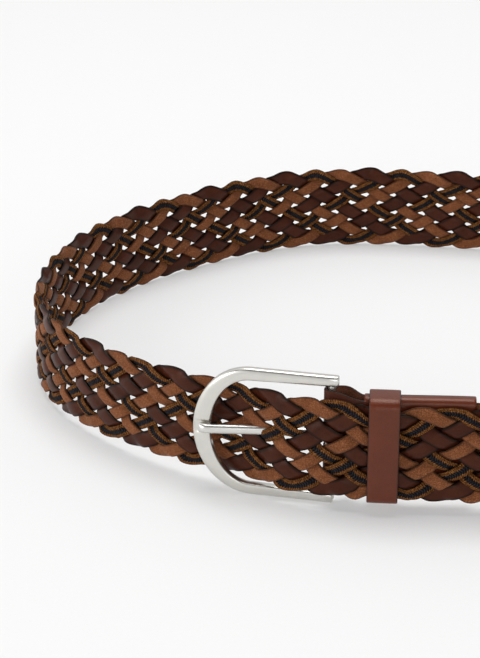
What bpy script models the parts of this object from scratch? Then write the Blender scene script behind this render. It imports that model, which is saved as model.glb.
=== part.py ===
"""Braided belt, fastened, standing on its lower edge as a closed loop.

The woven band starts in a leather sleeve on the buckle's bar, runs once round the loop, comes back through the
buckle frame over its own first stretch, passes the keeper and ends in a plain leather tip. Metres, +Z up. The
buckle faces -Y, the band runs along +X there, and the origin lies under the middle of the loop.
"""
import math

import bmesh
import bpy
import numpy as np
from mathutils import Vector

MM = 0.001
CLEARANCE = 0.3 * MM

# The loop seen from above, along the middle of the band
LOOP_LENGTH = 321.2 * MM
LOOP_DEPTH = 249.5 * MM
# Points of the loop as shares of its length and depth from its middle, from the buckle's bar on along the band
PLAN = (
    # (along, across)
    (-0.165, -0.474),
    (-0.015, -0.491),
    (0.154, -0.499),
    (0.324, -0.422),
    (0.454, -0.250),
    (0.497, -0.013),
    (0.442, 0.227),
    (0.300, 0.399),
    (0.093, 0.467),
    (-0.135, 0.496),
    (-0.290, 0.411),
    (-0.425, 0.251),
    (-0.492, 0.048),
    (-0.480, -0.137),
    (-0.393, -0.295),
    (-0.290, -0.396),
)
SAMPLES_PER_SPAN = 400

# The woven band
BAND_WIDTH = 36.0 * MM
BAND_THICKNESS = 3.6 * MM
STRANDS = 9
STRAND_PITCH = 12.9 * MM
SCALLOP_DEPTH = 1.5 * MM
WEAVE_RELIEF = 0.7 * MM
EDGE_THICKNESS = 2.2 * MM
KEEPER_SQUEEZE = 1.3 * MM
SQUEEZE_RUN = 9.0 * MM
# Where the band dives behind the bow: it bends inward and narrows, so far before the bar
BOW_CROSSING = 34.0 * MM
BOW_DIP = 2.5 * MM
DIP_REACH = 24.0 * MM
BOW_SQUEEZE = 1.0 * MM
BOW_SQUEEZE_REACH = 18.0 * MM

# Smooth leather
LEATHER = 1.2 * MM
TIP_LEATHER = 1.2 * MM
SLEEVE_CLEARANCE = 0.5 * MM
CHAPE_START = 11.5 * MM
CHAPE_END = 49.0 * MM
CHAPE_HEIGHT = 36.0 * MM
CHAPE_RISE = 1.3 * MM
FOLD_LEATHER = 1.0 * MM
FOLD_OPENING = 2.6 * MM
FOLD_LAP = 4.0 * MM
BAND_START = 14.0 * MM
KEEPER_STATION = 18.6 * MM
KEEPER_LENGTH = 10.5 * MM
KEEPER_LEATHER = 1.2 * MM
KEEPER_CLEARANCE = 0.45 * MM
KEEPER_TOP_CORNER = 3.4 * MM
KEEPER_FOOT_CORNER = 2.6 * MM
TIP_START = 57.0 * MM
TIP_POCKET = 14.0 * MM
TIP_END = 99.0 * MM
LAYERS_MEET = 205.0 * MM

# The buckle
FRAME_HEIGHT = 47.8 * MM
FRAME_LENGTH = 50.3 * MM
FRAME_DEPTH = 3.1 * MM
BOW_REACH = 20.4 * MM
BOW_WIDTH = 6.1 * MM
ARM_WIDTH = 4.2 * MM
ARM_END_WIDTH = 3.5 * MM
UPPER_OVERHANG = 2.2 * MM
LOWER_OVERHANG = 0.9 * MM
FRAME_ROUNDING = 0.8 * MM
FRAME_TURN = math.radians(-13.0)
BAR_RADIUS = 1.35 * MM
LIFT_FLAT = 32.0 * MM
LIFT_REACH = 150.0 * MM

# The prong: half its height and half its thickness, along its length from the bar
PRONG_RISE = 0.8 * MM
PRONG_HALF_HEIGHT = 1.55 * MM
PRONG_EYE_HALF = 0.7 * MM
PRONG_SHANK_HALF = 1.4 * MM
PRONG_TIP_REACH = 2.6 * MM
PRONG_BACKSET = 1.9 * MM
PRONG_DROP = 0.4 * MM
PRONG_SWELL = 0.4
TIP_TURN = math.radians(72.0)
EYE_START = math.radians(55.0)
EYE_END = math.radians(270.0)

# Round edges of the leather, as shares of its half thickness or thickness
SLEEVE_CORNER = 0.7
KEEPER_CORNER = 0.3
TIP_BLUNTNESS = 0.03

# Fineness of the faceted shapes
BOW_STEPS = 28
SECTION_ARC_STEPS = 3
KEEPER_ARC_STEPS = 6
FRONT_STEPS = 8
FOLD_STEPS = 11
BACK_STEPS = 12
POINT_STEPS = 8
SLEEVE_STATIONS = 9
BAR_SIDES = 16
PRONG_SIDES = 10
EYE_STEPS = 13
SHANK_STEPS = 8
TIP_STEPS = 4

# What follows from the sizes above
FRAME_MIDDLE = FRAME_HEIGHT / 2
BAND_LIFT = ARM_WIDTH + CLEARANCE
BAND_MIDDLE = BAND_LIFT + BAND_WIDTH / 2
SLEEVED_THICKNESS = BAND_THICKNESS - 2 * CLEARANCE
SLEEVED_WIDTH = CHAPE_HEIGHT - 2 * (LEATHER + SLEEVE_CLEARANCE)
TIP_HEIGHT = SLEEVED_WIDTH + 2 * (SLEEVE_CLEARANCE + TIP_LEATHER)
TIP_PROUD = CLEARANCE + TIP_LEATHER
CHAPE_FRONT = BAND_THICKNESS / 2 + CLEARANCE
CHAPE_DEPTH = SLEEVED_THICKNESS + 2 * (CLEARANCE + LEATHER)
LAYER_STEP = CHAPE_FRONT + CHAPE_DEPTH / 2
BAR_INWARD = CHAPE_FRONT + LEATHER + CLEARANCE + BAR_RADIUS
FOLD_RADIUS = BAR_RADIUS + CLEARANCE + LEATHER / 2
CHAPE_MIDDLE = BAND_MIDDLE + CHAPE_RISE


def smooth(value):
    """Ease from 0 to 1 as the value goes from 0 to 1."""
    value = min(max(value, 0.0), 1.0)
    return value * value * (3 - 2 * value)


def blend(start, end, value):
    return start + (end - start) * smooth(value)


def closed_curve(points):
    """Dense points of the smooth closed curve through the given ones."""
    spans = np.sqrt(np.linalg.norm(np.roll(points, -1, axis=0) - points, axis=1))
    count = len(points)
    system = np.zeros((count, count))
    bends = np.zeros_like(points)
    for i in range(count):
        before, after, following = spans[i - 1], spans[i], (i + 1) % count
        system[i, i - 1] += before
        system[i, i] += 2 * (before + after)
        system[i, following] += after
        bends[i] = 6 * ((points[following] - points[i]) / after - (points[i] - points[i - 1]) / before)
    curvature = np.linalg.solve(system, bends)
    pieces = []
    for i in range(count):
        span, following = spans[i], (i + 1) % count
        t = np.linspace(0, span, SAMPLES_PER_SPAN, endpoint=False)[:, None]
        ease = (curvature[i] * (span - t) ** 3 + curvature[following] * t ** 3) / (6 * span)
        start = (points[i] / span - curvature[i] * span / 6) * (span - t)
        end = (points[following] / span - curvature[following] * span / 6) * t
        pieces.append(ease + start + end)
    return np.concatenate(pieces)


class Loop:
    """The band's middle line seen from above, by its length from the buckle's bar, counterclockwise."""

    def __init__(self):
        curve = closed_curve(np.array(PLAN))
        low, high = curve.min(axis=0), curve.max(axis=0)
        self.points = (curve - (low + high) / 2) / (high - low) * np.array((LOOP_LENGTH, LOOP_DEPTH))
        self.points[:, 1] += TIP_PROUD / 2
        steps = np.linalg.norm(np.roll(self.points, -1, axis=0) - self.points, axis=1)
        self.stations = np.concatenate(([0.0], np.cumsum(steps)))
        self.points = np.vstack((self.points, self.points[:1]))
        self.length = self.stations[-1]

    def middle(self, station):
        wrapped = station % self.length
        return Vector([np.interp(wrapped, self.stations, self.points[:, axis]) for axis in (0, 1)])

    def forward(self, station):
        return (self.middle(station + MM) - self.middle(station - MM)).normalized()

    def inward(self, station):
        forward = self.forward(station)
        return Vector((-forward.y, forward.x))

    def at(self, station, inward=0.0, height=0.0):
        plan = self.middle(station) + self.inward(station) * inward
        return Vector((plan.x, plan.y, height))

    def from_bar(self, station):
        """Signed length from the bar, shortest way round."""
        wrapped = station % self.length
        return wrapped if wrapped < self.length / 2 else wrapped - self.length

    def lift(self, station):
        """The buckle frame holds the band off the ground, and the band sags to it on both sides."""
        away = abs(self.from_bar(station)) - LIFT_FLAT
        return BAND_LIFT * (1 - smooth(away / LIFT_REACH))


LOOP = Loop()


def from_bow(station):
    """Length along the band from the place where it dives behind the bow."""
    return abs(LOOP.from_bar(station) + BOW_CROSSING)


def layer_offset(station):
    """How far inward the band lies from the loop's line: the first stretch is the inner layer."""
    inner_layer = LAYER_STEP * (1 - smooth((station - TIP_END - CLEARANCE) / (LAYERS_MEET - TIP_END)))
    return inner_layer + BOW_DIP * (1 - smooth(from_bow(station) / DIP_REACH))


def in_chape(station):
    """1 inside the sleeve on the band's fixed end, easing to 0 past its mouth."""
    return 1 - smooth((station - CHAPE_END) / SQUEEZE_RUN)


def edge_squeeze(station):
    """How far each edge of the band draws in: in the sleeves at its ends, under the keeper, behind the bow."""
    sleeved = (BAND_WIDTH - SLEEVED_WIDTH) / 2
    chape = sleeved * in_chape(station)
    tip = sleeved * smooth((station - (LOOP.length + TIP_START - SQUEEZE_RUN)) / SQUEEZE_RUN)
    past_keeper = abs(station - LOOP.length - KEEPER_STATION) - KEEPER_LENGTH / 2
    keeper = KEEPER_SQUEEZE * (1 - smooth(past_keeper / SQUEEZE_RUN))
    bow = BOW_SQUEEZE * (1 - smooth(from_bow(station) / BOW_SQUEEZE_REACH))
    return max(chape, tip, keeper, bow)


def material(name, colour, roughness, metallic=0.0):
    made = bpy.data.materials.new(name)
    made.use_nodes = True
    shader = made.node_tree.nodes["Principled BSDF"]
    shader.inputs["Base Color"].default_value = (*colour, 1.0)
    shader.inputs["Roughness"].default_value = roughness
    shader.inputs["Metallic"].default_value = metallic
    return made


def add_object(name, mesh_builder, finish):
    """Link a closed mesh as an object, with its faces turned outward."""
    bmesh.ops.recalc_face_normals(mesh_builder, faces=mesh_builder.faces)
    mesh = bpy.data.meshes.new(name)
    mesh_builder.to_mesh(mesh)
    mesh_builder.free()
    made = bpy.data.objects.new(name, mesh)
    made.data.materials.append(finish)
    bpy.context.scene.collection.objects.link(made)
    return made


def boolean(target, other, operation):
    """Join or cut with another object, which stays out of the model."""
    modifier = target.modifiers.new(operation.lower(), "BOOLEAN")
    modifier.operation = operation
    modifier.solver = "EXACT"
    modifier.object = other
    other.hide_render = True
    other.display_type = "WIRE"


def loft(rings, closed=False, capped=True):
    """Skin equal rings of points into one mesh; a closed loft joins its last ring to its first."""
    builder = bmesh.new()
    rows = [[builder.verts.new(point) for point in ring] for ring in rings]
    count = len(rows[0])
    pairs = list(zip(rows, rows[1:]))
    if closed:
        pairs.append((rows[-1], rows[0]))
    for row, following in pairs:
        for i in range(count):
            after = (i + 1) % count
            builder.faces.new((row[i], row[after], following[after], following[i]))
    if capped and not closed:
        builder.faces.new(reversed(rows[0]))
        builder.faces.new(rows[-1])
    return builder


def rounded_rectangle(half_width, half_height, top_radius, steps=SECTION_ARC_STEPS, foot_radius=None):
    """Corner arcs of a rectangle about the origin, counterclockwise."""
    points = []
    for quarter, (sign_x, sign_y) in enumerate(((1, 1), (-1, 1), (-1, -1), (1, -1))):
        radius = foot_radius if foot_radius and sign_y < 0 else top_radius
        centre = Vector((sign_x * (half_width - radius), sign_y * (half_height - radius)))
        for step in range(steps):
            angle = math.pi / 2 * (quarter + step / (steps - 1))
            points.append(centre + radius * Vector((math.cos(angle), math.sin(angle))))
    return points


# Woven band

def band_stations():
    last = LOOP.length + TIP_START + TIP_POCKET
    columns = round((last - BAND_START) / (STRAND_PITCH / 2))
    return np.linspace(BAND_START, last, columns + 1)


def band_column(station, column):
    """Points of one cross-section: up the outer face, then down the inner face.

    Strands cross on every other point of the lattice and stand out there; between them lie the small gaps.
    """
    half_width = BAND_WIDTH / 2 - edge_squeeze(station)
    middle_height = LOOP.lift(station) + BAND_WIDTH / 2 + CHAPE_RISE * in_chape(station)
    sleeved = station < CHAPE_END or station > LOOP.length + TIP_START
    offset = layer_offset(station)
    outer, inner = [], []
    for row in range(STRANDS + 1):
        crossing = (column + row) % 2 == 0
        at_edge = row in (0, STRANDS)
        share = 2 * row / STRANDS - 1
        height = middle_height + share * half_width
        half_thickness = (SLEEVED_THICKNESS if sleeved else BAND_THICKNESS) / 2
        if at_edge:
            half_thickness = EDGE_THICKNESS / 2
            if not crossing:
                height -= share * SCALLOP_DEPTH
        elif not crossing:
            half_thickness -= WEAVE_RELIEF
        outer.append(LOOP.at(station, offset - half_thickness, height))
        inner.append(LOOP.at(station, offset + half_thickness, height))
    return outer + inner[::-1]


def woven_band(finish):
    rings = [band_column(station, column) for column, station in enumerate(band_stations())]
    return add_object("strap_braid", loft(rings), finish)


# Leather sleeves, one on each end of the band

def sleeve_ring(station, inward, middle_height, half_depth, half_height):
    corner = min(half_depth, half_height) * SLEEVE_CORNER
    ring = []
    for point in rounded_rectangle(half_depth, half_height, corner):
        ring.append(LOOP.at(station, inward + point.x, middle_height + point.y))
    return ring


def sleeve(stations, pocket_stations, inward, middle_height, half_depth, wall, half_height_at):
    """A rounded sleeve along the band. A pocket that stops short of the last station leaves the end closed."""
    builder = bmesh.new()
    outside = [
        sleeve_ring(s, inward, middle_height(s), half_depth, half_height_at(s)) for s in stations
    ]
    inside = [
        sleeve_ring(s, inward, middle_height(s), half_depth - wall, half_height_at(s) - wall)
        for s in pocket_stations
    ]
    through = pocket_stations[-1] == stations[-1]
    outer_rows = [[builder.verts.new(point) for point in ring] for ring in outside]
    inner_rows = [[builder.verts.new(point) for point in ring] for ring in inside]
    strips = list(zip(outer_rows, outer_rows[1:])) + list(zip(inner_rows, inner_rows[1:]))
    strips.append((outer_rows[0], inner_rows[0]))
    if through:
        strips.append((outer_rows[-1], inner_rows[-1]))
    for row, following in strips:
        for i in range(len(row)):
            after = (i + 1) % len(row)
            builder.faces.new((row[i], row[after], following[after], following[i]))
    if not through:
        builder.faces.new(outer_rows[-1])
        builder.faces.new(inner_rows[-1])
    return builder


def fold_point(travel):
    """Middle of the fold's leather, from the front wall (0) round the bar (1 to 2) to the back wall (3)."""
    run = CHAPE_START + FOLD_LAP
    bar = LOOP.at(0.0, BAR_INWARD)
    forward, inward = LOOP.forward(0.0), LOOP.inward(0.0)
    front = CHAPE_FRONT + LEATHER / 2
    back = CHAPE_FRONT + CHAPE_DEPTH - LEATHER / 2
    if travel <= 1:
        return LOOP.at(run * (1 - travel), front), run * (1 - travel)
    if travel < 2:
        angle = -math.pi / 2 - math.pi * (travel - 1)
        plan = forward * math.cos(angle) + inward * math.sin(angle)
        return bar + FOLD_RADIUS * Vector((plan.x, plan.y, 0.0)), 0.0
    share = travel - 2
    opening = FOLD_OPENING * math.sin(math.pi * min(share * run / CHAPE_START, 1.0)) ** 2
    offset = blend(BAR_INWARD + FOLD_RADIUS, back, share * run / CHAPE_START) + opening
    return LOOP.at(share * run, offset), share * run


def fold_heights(station):
    """Lower and upper edge of the fold: it fills the frame at the bar and slips into the sleeve."""
    half_at_bar = FRAME_MIDDLE - ARM_WIDTH - CLEARANCE
    half_in_sleeve = CHAPE_HEIGHT / 2 - LEATHER
    share = station / CHAPE_START
    middle = blend(FRAME_MIDDLE, CHAPE_MIDDLE, share)
    half = blend(half_at_bar, half_in_sleeve, share)
    return middle - half, middle + half


def chape_fold(finish):
    travels = list(np.linspace(0, 1, FRONT_STEPS))
    travels += list(np.linspace(1, 2, FOLD_STEPS)[1:])
    travels += list(np.linspace(2, 3, BACK_STEPS)[1:])
    middles = [fold_point(travel) for travel in travels]
    rings = []
    for i, (point, station) in enumerate(middles):
        before = middles[max(i - 1, 0)][0]
        after = middles[min(i + 1, len(middles) - 1)][0]
        along = (after - before).normalized()
        across = Vector((-along.y, along.x, 0.0)) * FOLD_LEATHER / 2
        low, high = fold_heights(station)
        rings.append([
            Vector((point.x, point.y, low)) - across,
            Vector((point.x, point.y, low)) + across,
            Vector((point.x, point.y, high)) + across,
            Vector((point.x, point.y, high)) - across,
        ])
    return add_object("chape_fold_cut", loft(rings), finish)


def chape(finish):
    """The sleeve on the band's fixed end, with its leather folded round the bar and slotted for the prong."""
    stations = list(np.linspace(CHAPE_START, CHAPE_END, SLEEVE_STATIONS))
    body = add_object("chape", sleeve(
        stations, stations, LAYER_STEP, lambda s: CHAPE_MIDDLE - BAND_LIFT + LOOP.lift(s), CHAPE_DEPTH / 2,
        LEATHER, lambda s: CHAPE_HEIGHT / 2), finish)
    boolean(body, chape_fold(finish), "UNION")
    boolean(body, prong_slot(finish), "DIFFERENCE")
    return body


def prong_slot(finish):
    """The opening in the fold where the prong's eye grips the bar."""
    builder = bmesh.new()
    bmesh.ops.create_cube(builder, size=1.0)
    reach = FOLD_RADIUS + LEATHER
    height = 2 * (PRONG_HALF_HEIGHT + CLEARANCE)
    bmesh.ops.scale(builder, vec=(2 * reach + CHAPE_START, 3 * reach, height), verts=builder.verts)
    slot = add_object("prong_slot_cut", builder, finish)
    slot.location = LOOP.at(0.0, BAR_INWARD, FRAME_MIDDLE + PRONG_RISE)
    slot.rotation_euler.z = math.pi + FRAME_TURN
    return slot


def strap_tip(finish):
    """The plain leather end of the free end, with a round point."""
    start, end = LOOP.length + TIP_START, LOOP.length + TIP_END
    point_reach = TIP_HEIGHT / 2
    half_depth = BAND_THICKNESS / 2 + TIP_PROUD

    def half_height(station):
        into_point = max(0.0, station - (end - point_reach)) / point_reach
        return TIP_HEIGHT / 2 * math.sqrt(max(1 - into_point ** 2, TIP_BLUNTNESS))

    straight = list(np.linspace(start, start + TIP_POCKET + CLEARANCE, 4))
    rest = list(np.linspace(straight[-1], end - point_reach, 3)[1:])
    turns = [math.pi / 2 * step / POINT_STEPS for step in range(1, POINT_STEPS + 1)]
    rounded = [end - point_reach * (1 - math.sin(turn)) for turn in turns]
    body = sleeve(straight + rest + rounded, straight, 0.0, lambda s: LOOP.lift(s) + BAND_WIDTH / 2,
                  half_depth, TIP_LEATHER, half_height)
    return add_object("strap_tip", body, finish)


# Keeper

def keeper(finish):
    """A closed leather band round both layers, with round corners."""
    station = KEEPER_STATION
    inner_front = -BAND_THICKNESS / 2 - KEEPER_CLEARANCE
    inner_back = CHAPE_FRONT + CHAPE_DEPTH + KEEPER_CLEARANCE
    inner_low = min(LOOP.lift(station) + KEEPER_SQUEEZE, CHAPE_MIDDLE - CHAPE_HEIGHT / 2) - CLEARANCE
    inner_high = CHAPE_MIDDLE + CHAPE_HEIGHT / 2 + CLEARANCE
    half_depth = (inner_back - inner_front) / 2 + KEEPER_LEATHER / 2
    half_height = (inner_high - inner_low) / 2 + KEEPER_LEATHER / 2
    path = rounded_rectangle(half_depth, half_height, KEEPER_TOP_CORNER, KEEPER_ARC_STEPS, KEEPER_FOOT_CORNER)
    centre = LOOP.at(station, (inner_front + inner_back) / 2, (inner_low + inner_high) / 2)
    section = rounded_rectangle(KEEPER_LENGTH / 2, KEEPER_LEATHER / 2, KEEPER_LEATHER * KEEPER_CORNER, 2)
    rings = []
    for i, point in enumerate(path):
        along = (path[(i + 1) % len(path)] - path[i - 1]).normalized()
        outward = Vector((along.y, -along.x))
        rings.append([
            Vector((corner.x, point.x + outward.x * corner.y, point.y + outward.y * corner.y))
            for corner in section
        ])
    made = add_object("keeper", loft(rings, closed=True), finish)
    forward = LOOP.forward(station)
    made.location = centre
    made.rotation_euler.z = math.atan2(forward.y, forward.x)
    return made


# Buckle: its own axes run from the bar towards the bow (x), out of its face (y) and up (z)

def place_on_bar(made):
    made.location = LOOP.at(0.0, BAR_INWARD, FRAME_MIDDLE)
    made.rotation_euler.z = math.pi + FRAME_TURN


def arm_widths(overhang, bow_centre):
    """Places along an arm that runs past the bar by the overhang, each with the arm's width there."""
    middle = (bow_centre - overhang) / 2
    return [(-overhang, ARM_END_WIDTH), (middle, (ARM_END_WIDTH + ARM_WIDTH) / 2)]


def horseshoe():
    """Outer and inner points of the frame's outline, from the end of the upper arm round the bow."""
    bow_centre = FRAME_LENGTH - UPPER_OVERHANG - BOW_REACH
    half = FRAME_HEIGHT / 2
    pairs = []
    for along, width in arm_widths(UPPER_OVERHANG, bow_centre):
        pairs.append((Vector((along, half)), Vector((along, half - width))))
    for step in range(BOW_STEPS + 1):
        angle = math.pi / 2 - math.pi * step / BOW_STEPS
        direction = Vector((math.cos(angle), math.sin(angle)))
        outer = Vector((bow_centre + BOW_REACH * direction.x, half * direction.y))
        inner = Vector((
            bow_centre + (BOW_REACH - BOW_WIDTH) * direction.x,
            (half - ARM_WIDTH) * direction.y,
        ))
        pairs.append((outer, inner))
    for along, width in reversed(arm_widths(LOWER_OVERHANG, bow_centre)):
        pairs.append((Vector((along, -half)), Vector((along, width - half))))
    return pairs


def buckle_frame(finish):
    rings = []
    for outer, inner in horseshoe():
        middle = (outer + inner) / 2
        across = (outer - inner) / 2
        half_width = across.length
        outward = across / half_width
        section = rounded_rectangle(half_width, FRAME_DEPTH / 2, FRAME_ROUNDING)
        rings.append([
            Vector((middle.x + outward.x * p.x, p.y, middle.y + outward.y * p.x)) for p in section
        ])
    frame = add_object("buckle_frame", loft(rings), finish)
    place_on_bar(frame)
    builder = bmesh.new()
    bmesh.ops.create_cone(
        builder, cap_ends=True, segments=BAR_SIDES, radius1=BAR_RADIUS, radius2=BAR_RADIUS,
        depth=FRAME_HEIGHT - ARM_END_WIDTH)
    bar = add_object("bar_join", builder, finish)
    place_on_bar(bar)
    boolean(frame, bar, "UNION")
    return frame


def prong_path():
    """Points of the prong's middle line in plan, each with its half thickness: the eye, the shank, the tip."""
    eye_radius = BAR_RADIUS + CLEARANCE + PRONG_EYE_HALF
    bow_middle = FRAME_LENGTH - UPPER_OVERHANG - BOW_WIDTH / 2
    rest_out = FRAME_DEPTH / 2 + CLEARANCE + PRONG_SHANK_HALF
    points = []
    for angle in np.linspace(EYE_START, EYE_END, EYE_STEPS):
        points.append((Vector((math.cos(angle), math.sin(angle))) * eye_radius, PRONG_EYE_HALF))
    start = points[-1][0]
    rest = Vector((bow_middle - PRONG_BACKSET, rest_out))
    for step in range(1, SHANK_STEPS + 1):
        share = step / SHANK_STEPS
        half = blend(PRONG_EYE_HALF, PRONG_SHANK_HALF, share / PRONG_SWELL)
        points.append((start.lerp(rest, share), half))
    for step in range(1, TIP_STEPS + 1):
        turn = TIP_TURN * step / TIP_STEPS
        share = math.sin(turn) / math.sin(TIP_TURN)
        tip = rest + Vector((PRONG_TIP_REACH, -PRONG_DROP)) * share
        points.append((tip, PRONG_SHANK_HALF * math.cos(turn)))
    return points


def prong_mesh(margin):
    """The prong's solid, or with a margin the hole that it needs."""
    path = prong_path()
    rings = []
    for i, (point, half_thickness) in enumerate(path):
        before, after = path[max(i - 1, 0)][0], path[min(i + 1, len(path) - 1)][0]
        along = (after - before).normalized()
        side = Vector((-along.y, along.x))
        half_height = min(PRONG_HALF_HEIGHT, PRONG_HALF_HEIGHT * half_thickness / PRONG_EYE_HALF) + margin
        ring = []
        for step in range(PRONG_SIDES):
            angle = 2 * math.pi * step / PRONG_SIDES
            out = (half_thickness + margin) * math.cos(angle)
            ring.append(Vector((
                point.x + side.x * out, point.y + side.y * out, half_height * math.sin(angle) + PRONG_RISE,
            )))
        rings.append(ring)
    return loft(rings)


def buckle_prong(finish):
    prong = add_object("buckle_prong", prong_mesh(0.0), finish)
    place_on_bar(prong)
    return prong


def prong_hole(finish):
    hole = add_object("prong_hole_cut", prong_mesh(CLEARANCE), finish)
    place_on_bar(hole)
    return hole


def main():
    for item in list(bpy.data.objects):
        bpy.data.objects.remove(item, do_unlink=True)
    woven = material("woven_leather", (0.075, 0.032, 0.022), 0.5)
    smooth_leather = material("smooth_leather", (0.145, 0.045, 0.027), 0.42)
    satin_metal = material("satin_metal", (0.68, 0.66, 0.61), 0.32, 1.0)
    bright_metal = material("bright_metal", (0.75, 0.74, 0.71), 0.15, 1.0)
    band = woven_band(woven)
    boolean(band, prong_hole(woven), "DIFFERENCE")
    chape(smooth_leather)
    keeper(smooth_leather)
    strap_tip(smooth_leather)
    buckle_frame(satin_metal)
    buckle_prong(bright_metal)


main()
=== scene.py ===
"""Braided belt: nine woven strands, leather pieces and a satin buckle, on a pale studio floor."""
import math

import bmesh
import bpy
import numpy as np
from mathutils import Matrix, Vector


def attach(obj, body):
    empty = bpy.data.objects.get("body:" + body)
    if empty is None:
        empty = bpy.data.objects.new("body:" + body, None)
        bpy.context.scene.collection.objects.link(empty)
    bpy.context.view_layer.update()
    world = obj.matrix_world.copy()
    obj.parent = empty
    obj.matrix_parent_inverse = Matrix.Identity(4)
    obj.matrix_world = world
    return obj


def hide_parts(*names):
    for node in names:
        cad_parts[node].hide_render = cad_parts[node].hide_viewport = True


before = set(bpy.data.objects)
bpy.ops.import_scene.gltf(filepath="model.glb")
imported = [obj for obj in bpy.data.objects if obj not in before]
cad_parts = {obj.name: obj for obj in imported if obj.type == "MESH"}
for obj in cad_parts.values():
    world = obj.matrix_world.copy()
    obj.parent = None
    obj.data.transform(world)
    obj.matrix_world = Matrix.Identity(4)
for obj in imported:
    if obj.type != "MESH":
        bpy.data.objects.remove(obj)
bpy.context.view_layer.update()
MM = 0.001

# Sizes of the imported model, in mm. The loop, seen from above, and its plan as shares of its sizes
CLEARANCE = 0.3
LOOP_LENGTH = 321.2
LOOP_DEPTH = 249.5
PLAN = (
    # (along, across)
    (-0.165, -0.474),
    (-0.015, -0.491),
    (0.154, -0.499),
    (0.324, -0.422),
    (0.454, -0.250),
    (0.497, -0.013),
    (0.442, 0.227),
    (0.300, 0.399),
    (0.093, 0.467),
    (-0.135, 0.496),
    (-0.290, 0.411),
    (-0.425, 0.251),
    (-0.492, 0.048),
    (-0.480, -0.137),
    (-0.393, -0.295),
    (-0.290, -0.396),
)
SAMPLES_PER_SPAN = 400

# The band: how it is squeezed in the keeper and dips behind the buckle's bow
BAND_WIDTH = 36.0
BAND_THICKNESS = 3.6
STRANDS = 9
STRAND_PITCH = 12.9
KEEPER_SQUEEZE = 1.3
SQUEEZE_RUN = 9.0
KEEPER_SQUEEZE_RUN = 4.0
BOW_CROSSING = 34.0
BOW_DIP = 2.5
DIP_REACH = 24.0
BOW_SQUEEZE = 0.2
BOW_SQUEEZE_REACH = 18.0

# The leather pieces, each by its stations: lengths along the loop from the buckle's bar
LEATHER = 1.2
TIP_LEATHER = 1.2
SLEEVE_CLEARANCE = 0.5
CHAPE_START = 11.5
CHAPE_END = 49.0
CHAPE_HEIGHT = 36.0
CHAPE_RISE = 1.3
FOLD_LEATHER = 1.0
FOLD_OPENING = 2.6
FOLD_LAP = 4.0
BAND_START = 14.0
KEEPER_STATION = 18.6
KEEPER_LENGTH = 10.5
KEEPER_LEATHER = 1.2
KEEPER_CLEARANCE = 0.45
KEEPER_TOP_CORNER = 3.4
KEEPER_FOOT_CORNER = 2.6
KEEPER_PROFILE = (
    # (from the middle to an edge as a share, how far back from there, out of the leather as a share of half)
    (1.0, 0.0, -0.4),
    (1.0, 0.0, 0.3),
    (1.0, 0.12, 0.75),
    (1.0, 0.45, 1.0),
    (0.5, 0.0, 1.04),
    (0.0, 0.0, 1.05),
    (-0.5, 0.0, 1.04),
    (-1.0, 0.45, 1.0),
    (-1.0, 0.12, 0.75),
    (-1.0, 0.0, 0.3),
    (-1.0, 0.0, -0.4),
    (-1.0, 0.3, -1.0),
    (1.0, 0.3, -1.0),
)
KEEPER_GRID = 2.0
TIP_START = 57.0
TIP_POCKET = 14.0
TIP_END = 99.0
TIP_BLUNTNESS = 0.03
LAYERS_MEET = 205.0

# The buckle, and the lift that its lower arm gives the band
FRAME_HEIGHT = 47.8
FRAME_LENGTH = 50.3
FRAME_DEPTH = 3.1
BOW_REACH = 20.4
BOW_WIDTH = 6.1
ARM_WIDTH = 4.2
ARM_END_WIDTH = 3.5
UPPER_OVERHANG = 2.2
LOWER_OVERHANG = 0.9
FRAME_TURN = math.radians(-13.0)
BAR_RADIUS = 1.35
LIFT_FLAT = 32.0
LIFT_REACH = 150.0
PRONG_RISE = 0.8
PRONG_HALF_HEIGHT = 1.7
PRONG_EYE_HALF = 0.7
PRONG_SHANK_HALF = 1.4
PRONG_TIP_REACH = 2.6
PRONG_BACKSET = 1.9
PRONG_DROP = 0.4
PRONG_SWELL = 0.4
PRONG_DIVE = 0.8
PRONG_EYE_TURNS = (math.radians(55.0), math.radians(270.0))
PRONG_TIP_TURN = math.radians(84.0)
PRONG_SIDES = 28
NOTCH_DEPTH = 0.5
NOTCH_HALF = 1.9

# Sizes that follow from these
BAND_LIFT = ARM_WIDTH + CLEARANCE
SLEEVED_THICKNESS = BAND_THICKNESS - 2 * CLEARANCE
SLEEVED_WIDTH = CHAPE_HEIGHT - 2 * (LEATHER + SLEEVE_CLEARANCE)
TIP_PROUD = CLEARANCE + TIP_LEATHER
CHAPE_FRONT = BAND_THICKNESS / 2 + CLEARANCE
CHAPE_DEPTH = SLEEVED_THICKNESS + 2 * (CLEARANCE + LEATHER)
LAYER_STEP = CHAPE_FRONT + CHAPE_DEPTH / 2
BAR_INWARD = CHAPE_FRONT + LEATHER + CLEARANCE + BAR_RADIUS
FOLD_RADIUS = BAR_RADIUS + CLEARANCE + LEATHER / 2
CHAPE_MIDDLE = BAND_LIFT + BAND_WIDTH / 2 + CHAPE_RISE
TIP_HEIGHT = SLEEVED_WIDTH + 2 * (SLEEVE_CLEARANCE + TIP_LEATHER)

# The weave: how far before the bar a dark strand turns at the upper edge, and each kind of strand
DARK_TURN = 20.9
STRAND_KINDS = (
    # (name, half width, thickness, edge thickness,
    #  sharpness of its turns, lean and bulge of its upper turn)
    ("dark", 3.0, 1.35, 0.8, 0.8, -0.12, 0.3),
    ("tan", 2.4, 1.5, 0.9, 1.1, -0.03, 0.0),
    ("striped", 2.35, 1.35, 0.85, 1.25, -0.24, 0.0),
)
WEAVE_HEIGHT = 0.92
BAR_RISE = 1.4
BAR_RISE_MIDDLE = 2.0
BAR_RISE_REACH = 26.0
WEAVE_SQUARENESS = 2.0
LEAN_REACH = 0.9
BULGE_REACH = 0.7
TURN_BLEND = 0.4
STEPS_PER_PITCH = 14
SIDES = 16

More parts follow.
